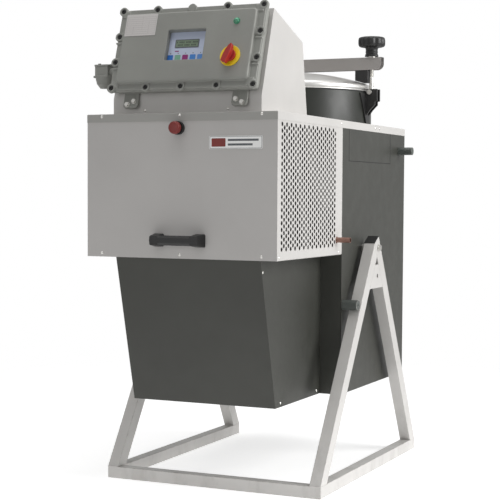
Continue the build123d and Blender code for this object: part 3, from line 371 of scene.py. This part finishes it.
# ---- mesh helpers ----
def to_object(name, bm, material, body, replaces=(), smooth=True):
    """Turn a bmesh into a piece that rides on a body and stands for CAD nodes."""
    mesh = bpy.data.meshes.new(name)
    bm.normal_update()
    bm.to_mesh(mesh)
    bm.free()
    if smooth:
        mesh.shade_smooth()
    piece = bpy.data.objects.new(name, mesh)
    bpy.context.scene.collection.objects.link(piece)
    for entry in [material] if isinstance(material, str) else material:
        mesh.materials.append(MATERIALS[entry])
    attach(piece, body)
    if replaces:
        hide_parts(*replaces)
    return piece


def apply_modifiers(piece):
    """Freeze a piece's modifiers into its mesh."""
    graph = bpy.context.evaluated_depsgraph_get()
    mesh = bpy.data.meshes.new_from_object(piece.evaluated_get(graph))
    piece.modifiers.clear()
    piece.data = mesh


def weighted(piece):
    """Flat faces stay flat beside their rounded edges."""
    modifier = piece.modifiers.new("normals", "WEIGHTED_NORMAL")
    modifier.weight = 100
    modifier.keep_sharp = True
    return piece


def cad_copy(node):
    """A clean bmesh of a CAD node: doubles merged and flat regions made one face."""
    bm = bmesh.new()
    bm.from_mesh(NODES[node].data)
    bmesh.ops.remove_doubles(bm, verts=bm.verts, dist=2e-6)
    bmesh.ops.dissolve_limit(bm, angle_limit=math.radians(0.6), verts=bm.verts, edges=bm.edges)
    return bm


SHARP_ANGLE = math.radians(32.0)


def round_edges(bm, width, segments=2):
    """Bevel the sharp edges and mark the new faces for edge wear."""
    layer = bm.faces.layers.float.get("edge") or bm.faces.layers.float.new("edge")
    sharp = [e for e in bm.edges if len(e.link_faces) == 2 and e.calc_face_angle(0) > SHARP_ANGLE]
    if sharp:
        result = bmesh.ops.bevel(
            bm, geom=sharp, offset=width / 1000, offset_type="OFFSET", segments=segments,
            profile=0.5, affect="EDGES", clamp_overlap=True,
        )
        for face in result["faces"]:
            face[layer] = 1.0
    return bm


def refine(node, width, segments=2, front=None):
    """The CAD node with rounded, slightly worn edges.

    front is a darker second paint for the faces that look forwards: painted shade on them.
    """
    bm = round_edges(cad_copy(node), width, segments)
    material = material_of(node)
    if front:
        bm.normal_update()
        for face in bm.faces:
            if face.normal.y < -0.6:
                face.material_index = 1
        material = [material, front]
    return weighted(to_object(f"{node}_look", bm, material, BODY[node], (node,)))


def cast(node, voxel, smooth):
    """The CAD node with the soft, flowing edges of a casting or moulding."""
    bm = cad_copy(node)
    bmesh.ops.triangulate(bm, faces=bm.faces)
    piece = to_object(f"{node}_look", bm, material_of(node), BODY[node], (node,))
    remesh = piece.modifiers.new("voxels", "REMESH")
    remesh.mode = "VOXEL"
    remesh.voxel_size = voxel / 1000
    remesh.use_smooth_shade = True
    blur = piece.modifiers.new("soften", "SMOOTH")
    blur.iterations = smooth
    blur.factor = 0.5
    apply_modifiers(piece)


def lathe(profile, segments=64, wobble=None):
    """Closed solid of revolution about local Z from an (R, Z) profile in millimetres."""
    bm = bmesh.new()
    rings = []
    for index, (radius, height) in enumerate(profile):
        if radius < 1e-6:
            rings.append([bm.verts.new((0, 0, height / 1000))])
            continue
        ring = []
        for i in range(segments):
            angle = 2 * math.pi * i / segments
            r = radius * (wobble(index, angle) if wobble else 1.0)
            point = Vector((r * math.cos(angle), r * math.sin(angle), height)) / 1000
            ring.append(bm.verts.new(point))
        rings.append(ring)
    for low, high in zip(rings, rings[1:]):
        for i in range(segments):
            j = (i + 1) % segments
            if len(low) == 1:
                bm.faces.new((low[0], high[j], high[i]))
            elif len(high) == 1:
                bm.faces.new((low[i], low[j], high[0]))
            else:
                bm.faces.new((low[i], low[j], high[j], high[i]))
    bmesh.ops.recalc_face_normals(bm, faces=bm.faces)
    return bm


def placed(bm, matrix):
    """The bmesh moved by a matrix."""
    bmesh.ops.transform(bm, matrix=matrix, verts=bm.verts)
    return bm


def slab(u, v, w, radius=0.0, corner=6):
    """Rounded rectangular plate in a frame's own U, V, W millimetres."""
    bm = bmesh.new()
    points = []
    r = max(radius, 0.01)
    corners = [
        (u[1] - r, v[1] - r, 0), (u[0] + r, v[1] - r, 90),
        (u[0] + r, v[0] + r, 180), (u[1] - r, v[0] + r, 270),
    ]
    for cu, cv, start in corners:
        for step in range(corner + 1):
            angle = math.radians(start + 90 * step / corner)
            points.append((cu + r * math.cos(angle), cv + r * math.sin(angle)))
    bottom = [bm.verts.new((x / 1000, y / 1000, w[0] / 1000)) for x, y in points]
    top = [bm.verts.new((x / 1000, y / 1000, w[1] / 1000)) for x, y in points]
    count = len(points)
    for i in range(count):
        j = (i + 1) % count
        bm.faces.new((bottom[i], bottom[j], top[j], top[i]))
    bm.faces.new(top)
    bm.faces.new(list(reversed(bottom)))
    return bm


def joined(*parts):
    """Several bmeshes as one."""
    whole = bmesh.new()
    for part in parts:
        mesh = bpy.data.meshes.new("part")
        part.to_mesh(mesh)
        part.free()
        whole.from_mesh(mesh)
        bpy.data.meshes.remove(mesh)
    return whole


def frame_at(origin, z_dir):
    """Axes at origin with local Z along z_dir and local X across the machine."""
    z = Vector(z_dir)
    x = Vector((1, 0, 0))
    y = z.cross(x)
    rows = Matrix((x, y, z)).transposed().to_4x4()
    return Matrix.Translation(origin) @ rows


WELD_SIDES = 10
WELD_STEP = 0.0011                 # metres between the bead's rings
WELD_RIPPLE = 0.0032               # metres between its ripples


def weld(name, start, end, radius, seed):
    """A painted weld bead from start to end, its ripples like overlapping drops."""
    start = at(*start)
    end = at(*end)
    along = end - start
    length = along.length
    count = max(8, int(length / WELD_STEP))
    side = along.normalized().orthogonal().normalized()
    up = along.normalized().cross(side)
    turns = [2 * math.pi / WELD_SIDES * i for i in range(WELD_SIDES)]
    bm = bmesh.new()
    rings = []
    for i in range(count + 1):
        t = i / count
        ripple = 0.80 + 0.20 * abs(math.sin(math.pi * t * length / WELD_RIPPLE))
        wander = noise.noise(Vector((t * length * 90, seed, 0))) * 0.18
        fade = min(1.0, 6 * t + 0.25, 6 * (1 - t) + 0.25)
        r = radius / 1000 * (ripple + wander) * fade
        centre = start + along * t
        around = [side * (r * math.cos(turn)) + up * (r * math.sin(turn)) for turn in turns]
        rings.append([bm.verts.new(centre + offset) for offset in around])
    for low, high in zip(rings, rings[1:]):
        for j in range(WELD_SIDES):
            k = (j + 1) % WELD_SIDES
            bm.faces.new((low[j], low[k], high[k], high[j]))
    bm.faces.new(list(reversed(rings[0])))
    bm.faces.new(rings[-1])
    bmesh.ops.recalc_face_normals(bm, faces=bm.faces)
    to_object(name, bm, "stand_paint", "stand")


# ---- CAD nodes that keep their shape and get edges or a material ----
for node, width, segments in [
    ("base_front_rail", 2.5, 3), ("base_side_rail_left", 2.5, 3), ("base_side_rail_right", 2.5, 3),
    ("front_leg_left", 2.5, 3), ("front_leg_right", 2.5, 3),
    ("rear_leg_left", 2.5, 3), ("rear_leg_right", 2.5, 3),
    ("gusset_plates", 0.8, 2), ("apex_plugs", 1.2, 3), ("trunnion_bolts", 0.8, 2), ("tilt_stops", 1.0, 2),
    ("body_shell", 0.9, 2), ("taper_housing", 1.2, 3), ("side_access_cover", 0.7, 2),
    ("pressure_feet", 1.0, 2), ("bar_hinge_bracket", 1.0, 2),
    ("clamp_bracket", 1.2, 2), ("bracket_pins", 0.8, 2), ("switch_plate", 0.8, 3),
    ("enclosure_cover_bolts", 0.5, 2), ("enclosure_mounting_bolts", 0.6, 2),
    ("distillate_pipe", 0.4, 2),
    ("estop_base", 1.0, 3), ("knob_washer", 0.4, 2), ("indicator_lamp", 0.5, 2),
    ("conduit_fitting_cover", 1.5, 3),
]:
    refine(node, width, segments)
refine("console_housing", 1.6, 3)
refine("neck_collar", 0.8, 2).data.materials[0] = MATERIALS["neck_paint"]
# Painted shade: on the cover's lip and on the front panel, faces that look forwards get a darker copy of the
# paint.
refine("top_cover", 0.5, 2, front="front_shade_paint")
refine("front_panel", 0.8, 2, front="panel_shade_paint")

for node in NODES:
    slots = NODES[node].data.materials
    slots.clear()
    slots.append(MATERIALS[material_of(node)])

# ---- castings and mouldings ----
cast("enclosure_cover", 1.5, 2)
cast("enclosure_body", 2.2, 5)
cast("conduit_fitting", 1.1, 6)
cast("front_handle", 0.9, 5)
cast("switch_handle", 0.55, 4)


def material_by_face(piece, name, chosen):
    """Give the chosen faces of a piece a second material."""
    mesh = piece.data
    mesh.materials.append(MATERIALS[name])
    for face in mesh.polygons:
        if chosen(face):
            face.material_index = len(mesh.materials) - 1


# Painted shade: the clamp bar's last 7 mm, end face included, take black plastic in place of the bar's paint.
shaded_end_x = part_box("clamp_bar")[1].x - 0.007
material_by_face(refine("clamp_bar", 1.6, 3), "black_plastic", lambda face: face.center.x > shaded_end_x)


# ---- knob: ten soft lobes over a stepped hub ----
def knob():
    low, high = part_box("knob")
    top, bottom = high.z * 1000, low.z * 1000
    profile = [
        (0, top - 7), (18, top - 7), (22, top - 6.5), (27, top - 3.5), (40, top - 3), (45.5, top - 5),
        (48.6, top - 9), (49.6, top - 15), (49.6, top - 27), (48.2, top - 33), (44.5, top - 37),
        (38, top - 39), (25, top - 41), (22.5, top - 44), (21.6, top - 50), (21.6, top - 54),
        (22.6, top - 55), (22.6, top - 57), (21.6, top - 58), (21.6, top - 63), (22.8, top - 64),
        (24.6, bottom + 2), (24.6, bottom), (8.6, bottom), (8.6, top - 20), (0, top - 20),
    ]

    def lobes(index, angle):
        if 4 <= index <= 11:
            depth = 0.085 if 5 <= index <= 10 else 0.045
            return 1.0 - depth * (0.5 - 0.5 * math.cos(10 * angle)) ** 2.5
        return 1.0

    axis = Vector(((low.x + high.x) / 2, (low.y + high.y) / 2, 0))
    bm = placed(lathe(profile, 160, lobes), Matrix.Translation(axis))
    to_object("knob_look", bm, "black_plastic", "knob", ("knob",))


knob()


# ---- dark strips painted as the shade in the gap around the side hatch ----
def hatch_gap_shade():
    """Three thin dark strips, painted shade in the gap: front edge, lower edge and rear edge, given by their
    Y and Z ranges.
    """
    side_x = 335.0
    thickness = 0.8
    strips = []
    for y, z in (
        ((619.2, 621.6), (1094, 1208)),
        ((619.2, 1061), (1093.9, 1095.6)),
        ((1058.6, 1061), (1094, 1208)),
    ):
        strip = bmesh.new()
        bmesh.ops.create_cube(strip, size=1)
        centre = at(side_x, sum(y) / 2, sum(z) / 2)
        size = Vector((thickness, y[1] - y[0], z[1] - z[0])) / 1000
        placed(strip, Matrix.Translation(centre) @ Matrix.Diagonal((*size, 1)))
        strips.append(round_edges(strip, 0.15, 2))
    to_object("hatch_gap_shade", joined(*strips), "seal_rubber", "cabinet", smooth=False)


hatch_gap_shade()


# ---- keypad with its display, keys and small lamps ----
def keypad():
    """Board, display with its cells, five keys and their lamps, at the bottom of the window."""
    face = -12.0
    parts = [
        ("keypad_board", slab((-71, 71), (79, 193), (face - 3.8, face + 0.2), 3), "keypad_face"),
        ("keypad_bezel", slab((-46, 38), (134, 162), (face, face + 1.6), 1.5), "bezel_grey"),
        ("keypad_display", slab((-43, 35), (137, 159), (face, face + 1.9), 1), "display_green"),
    ]
    for index, (name, u) in enumerate(zip(KEY_COLOURS, (-57, -30.5, -4, 22.5, 49))):
        key = slab((u - 10.5, u + 9.5), (88, 110), (face, face + 1.1), 2.5)
        lamp = slab((u - 2, u + 1), (114, 117), (face, face + 0.9), 1.4)
        parts.append((f"keypad_{name}", key, name))
        parts.append((f"keypad_led_{index}", lamp, "bezel_grey"))
    parts.append(("keypad_mark", slab((-44, -30), (121, 124.5), (face, face + 0.6), 1), "key_magenta"))
    cells = []
    for row in (0, 1):
        for column in range(16):
            if (column * 7 + row * 3) % 5 == 0:
                continue
            u = -40.5 + column * 4.7
            v = 140 + row * 9.5
            cells.append(slab((u, u + 3.2), (v, v + 5.5), (face + 1.8, face + 2.05), 0.3, 2))
    parts.append(("keypad_cells", joined(*cells), "display_cells"))
    for index, (name, bm, material) in enumerate(parts):
        round_edges(bm, 0.3, 2)
        stands_for = ("keypad_panel",) if index == 0 else ()
        weighted(to_object(name, placed(bm, FACE), material, "cabinet", stands_for))


keypad()


# ---- plates without lettering ----
def add_rules(name, bars, frame, material):
    """Flat printed bars on a plate; they carry no lettering."""
    to_object(name, placed(bars, frame), material, "cabinet", smooth=False)


def data_plate():
    """Pale plate on the enclosure with faint ruled lines."""
    plate = slab((-225, -113), (172, 246), (10, 11), 2)
    round_edges(plate, 0.3, 2)
    weighted(to_object("data_plate_look", placed(plate, FACE), "label_white", "cabinet", ("blank_plates",)))
    line = 0.4
    ink = (10.9, 11.12)
    rules = []
    for row in range(9):
        v = 179 + row * 7.2
        rules.append(slab((-221, -117), (v, v + line), ink, 0.1, 2))
    columns = ((-221, 179, 237), (-196, 179, 208), (-165, 193, 237), (-141, 179, 222), (-117.7, 179, 237))
    for u, low, high in columns:
        rules.append(slab((u, u + line), (low, high), ink, 0.1, 2))
    add_rules("data_plate_rules", joined(*rules), FACE, "plate_ink")


def maker_plate():
    """White plate on the front panel: a border, a plain red block and two plain bars."""
    front = frame_at(at(0, 0, 0), (0, -1, 0))
    ink = (0.9, 1.1)
    line = 1.2
    maker = slab((104, 285), (1118, 1158), (0.0, 1.0), 2.5)
    round_edges(maker, 0.3, 2)
    placed(maker, front)
    weighted(to_object("maker_plate_look", maker, "maker_white", "cabinet"))
    bars = []
    for v in (1119.5, 1155.3):
        bars.append(slab((106, 283), (v, v + line), ink, 0.3, 2))
    for u in (106, 281.8):
        bars.append(slab((u, u + line), (1119.5, 1156.5), ink, 0.3, 2))
    for v, width in ((1142, 104), (1128, 84)):
        bars.append(slab((168, 168 + width), (v, v + 6.5), ink, 0.5, 2))
    add_rules("maker_plate_rules", joined(*bars), front, "bezel_grey")
    add_rules("maker_plate_block", slab((112, 160), (1125, 1151), ink, 2, 4), front, "estop_red")


data_plate()
maker_plate()


# ---- emergency button: ribbed mushroom ----
def estop():
    """Mushroom head and stem; local Z points into the machine."""
    profile = [
        (0, 20.0), (6.5, 20.0), (6.5, -19.5), (17.5, -19.0), (19.4, -20.6), (20.0, -23.0), (20.0, -31.5),
        (18.6, -35.2), (15.6, -37.2), (11.0, -37.9), (5.5, -38.0), (0, -38.0),
    ]
    flank = (5, 6, 7)

    def ribs(index, angle):
        if index in flank:
            return 1.0 - 0.035 * (0.5 + 0.5 * math.cos(24 * angle)) ** 2
        return 1.0

    bm = lathe(profile, 192, ribs)
    low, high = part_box("estop_button")
    axis = Vector(((low.x + high.x) / 2, at(0, 0, 0).y, (low.z + high.z) / 2))
    bm = placed(bm, frame_at(axis, (0, 1, 0)))
    to_object("estop_button_look", bm, "estop_red", "estop", ("estop_button",))


estop()


# ---- boiler lid: spun dish with a rolled rim ----
def lid():
    """Dome as a shallow parabola, then the rolled rim and the sheet's underside."""
    steps = 26
    radii = [286.0 * i / steps for i in range(steps + 1)]
    top = [(r, 1428.0 - r * r / 1848.0) for r in radii]
    rim = [
        (290.0, 1381.6), (294.0, 1379.2), (297.4, 1375.4), (299.4, 1370.6), (299.9, 1365.0),
        (299.3, 1360.6), (297.6, 1358.4), (297.0, 1357.4), (298.2, 1356.2), (299.2, 1355.2),
        (298.8, 1354.2), (297.2, 1354.0), (296.6, 1355.0), (296.6, 1360.5), (268, 1360.5),
        (268, 1363), (296.4, 1363), (295.5, 1372),
    ]
    under = [(r, z - 2.5) for r, z in reversed(top[:-1])]
    bm = placed(lathe(top + rim + under, 160), Matrix.Translation(at(0, BOILER_Y, 0)))
    to_object("lid_look", bm, "stainless", "clamp_bar", ("lid",))


lid()


# ---- swing bolt with a cut thread ----
def thread(radius, pitch, low, high):
    """Threaded rod about local Z: a helical groove cut by moving the surface in and out."""
    segments = 28
    bm = bmesh.new()
    depth = pitch * 0.55
    rows = int((high - low) / pitch * 8)
    rings = []
    for row in range(rows + 1):
        z = low + (high - low) * row / rows
        ring = []
        for i in range(segments):
            turn = i / segments
            phase = (z / pitch - turn) % 1.0
            r = radius - depth * (1 - abs(2 * phase - 1))
            angle = 2 * math.pi * turn
            ring.append(bm.verts.new(Vector((r * math.cos(angle), r * math.sin(angle), z)) / 1000))
        rings.append(ring)
    for a, b in zip(rings, rings[1:]):
        for i in range(segments):
            j = (i + 1) % segments
            bm.faces.new((a[i], a[j], b[j], b[i]))
    bm.faces.new(list(reversed(rings[0])))
    bm.faces.new(rings[-1])
    return bm


def swing_bolt():
    """Eye, plain shank and threaded rod."""
    eye = lathe([(0, -9.4), (10.6, -9.4), (11.4, -8.6), (11.4, 8.6), (10.6, 9.4), (0, 9.4)], 40)
    placed(eye, frame_at(Vector((0, 0, 1.350)), (0, 1, 0)))
    shank = lathe([(0, 1350), (7.9, 1350), (7.9, 1404), (7.4, 1405), (0, 1405)], 40)
    rod = thread(7.95, 2.0, 1404, 1538)
    bm = placed(joined(eye, shank, rod), Matrix.Translation(at(316, BOILER_Y, 0)))
    to_object("swing_bolt_look", bm, "zinc_steel", "clamp_bar", ("swing_bolt",), smooth=False)


swing_bolt()


# ---- weld beads on the stand ----
def stand_welds():
    """Beads across the side rails at both legs, and a low one along the mitre of the base."""
    rail_top = 40.0
    seed = 0
    for side, label in ((-1, "left"), (1, "right")):
        inner = side * 354
        outer = side * 394
        for y in (228.5, 286.0, 1159.0, 1214.0):
            seed += 1
            weld(f"weld_{label}_{seed}", (inner, y, rail_top), (outer, y, rail_top), 2.2, seed)
        seed += 1
        start = (outer - side * 1.5, 230, rail_top - 0.4)
        end = (inner + side * 1.5, 267, rail_top - 0.4)
        weld(f"weld_{label}_{seed}", start, end, 1.2, seed)


stand_welds()


# ---- studio: floor, lights, camera ----
AMBIENT = 0.24                     # light from all around on surfaces
FLOOR_GLOW = 0.60                  # lifts the floor towards the backdrop's white


def floor_disc():
    """Pale round floor that fades into the backdrop."""
    bm = bmesh.new()
    bmesh.ops.create_circle(bm, cap_ends=True, segments=96, radius=6.0)
    mesh = bpy.data.meshes.new("floor")
    bm.to_mesh(mesh)
    bm.free()
    floor = bpy.data.objects.new("floor", mesh)
    bpy.context.scene.collection.objects.link(floor)
    tree = Tree("floor")
    drift = tree.ramp(tree.noise(1.3, 3.0), 0.3, 0.7)
    tone = tree.mix(drift, (0.80, 0.80, 0.80, 1), (0.83, 0.83, 0.83, 1))
    tree.set(tree.shader.inputs["Base Color"], tone)
    tree.shader.inputs["Roughness"].default_value = 0.85
    tree.shader.inputs["Specular IOR Level"].default_value = 0.1
    tree.shader.inputs["Emission Color"].default_value = (1, 1, 1, 1)
    tree.shader.inputs["Emission Strength"].default_value = FLOOR_GLOW
    distance = tree.add("ShaderNodeVectorMath", {0: tree.place}, operation="LENGTH").outputs["Value"]
    tree.set(tree.shader.inputs["Alpha"], tree.ramp(distance, 1.0, 3.2, 1.0, 0.0))
    mesh.materials.append(tree.material)


def backdrop():
    """White where the camera looks, half white in reflections, and a soft light elsewhere."""
    world = bpy.data.worlds.new("studio")
    bpy.context.scene.world = world
    world.use_nodes = True
    nodes = world.node_tree.nodes
    links = world.node_tree.links
    soft = nodes["Background"]
    soft.inputs["Color"].default_value = (1, 1, 1, 1)
    soft.inputs["Strength"].default_value = AMBIENT
    paper = nodes.new("ShaderNodeBackground")
    paper.inputs["Color"].default_value = (1, 1, 1, 1)
    chooser = nodes.new("ShaderNodeMixShader")
    path = nodes.new("ShaderNodeLightPath")
    glossy = nodes.new("ShaderNodeMath")
    glossy.operation = "MULTIPLY_ADD"
    glossy.inputs[1].default_value = 0.5
    links.new(path.outputs["Is Glossy Ray"], glossy.inputs[0])
    links.new(path.outputs["Is Camera Ray"], glossy.inputs[2])
    links.new(glossy.outputs[0], chooser.inputs[0])
    links.new(soft.outputs[0], chooser.inputs[1])
    links.new(paper.outputs[0], chooser.inputs[2])
    links.new(chooser.outputs[0], nodes["World Output"].inputs["Surface"])


def area(name, position, target, size, power):
    light = bpy.data.lights.new(name, "AREA")
    light.shape = "RECTANGLE"
    light.size = size[0]
    light.size_y = size[1]
    light.energy = power
    lamp = bpy.data.objects.new(name, light)
    lamp.location = position
    lamp.rotation_euler = (Vector(target) - Vector(position)).to_track_quat("-Z", "Y").to_euler()
    bpy.context.scene.collection.objects.link(lamp)


def camera():
    """Long lens at chest height, from the front right."""
    yaw, pitch, roll = (math.radians(a) for a in (24.305, 3.198, 0.344))
    forward = Vector((-math.sin(yaw) * math.cos(pitch), math.cos(yaw) * math.cos(pitch), -math.sin(pitch)))
    right = Vector((math.cos(yaw), math.sin(yaw), 0))
    up = right.cross(forward)
    right_rolled = right * math.cos(roll) + up * math.sin(roll)
    up_rolled = up * math.cos(roll) - right * math.sin(roll)
    data = bpy.data.cameras.new("camera")
    data.lens = 97.35
    data.sensor_width = 36
    data.shift_x = -0.0119
    data.shift_y = 0.0388
    data.clip_end = 50
    eye = bpy.data.objects.new("camera", data)
    bpy.context.scene.collection.objects.link(eye)
    matrix = Matrix((right_rolled, up_rolled, -forward)).transposed().to_4x4()
    eye.matrix_world = Matrix.Translation(at(1969.6, -3774.1, 980.1)) @ matrix
    bpy.context.scene.camera = eye


floor_disc()
backdrop()
area("key_right", (4.3, 0.5, 2.4), (0, 0, 0.8), (2.6, 2.6), 165)
area("fill_front", (-0.6, -4.6, 1.6), (0, 0, 0.6), (3.0, 2.4), 20)
area("top_soft", (0.2, -0.6, 4.6), (0, 0, 0), (3.5, 3.5), 90)
camera()
bpy.context.scene.view_settings.view_transform = "Standard"
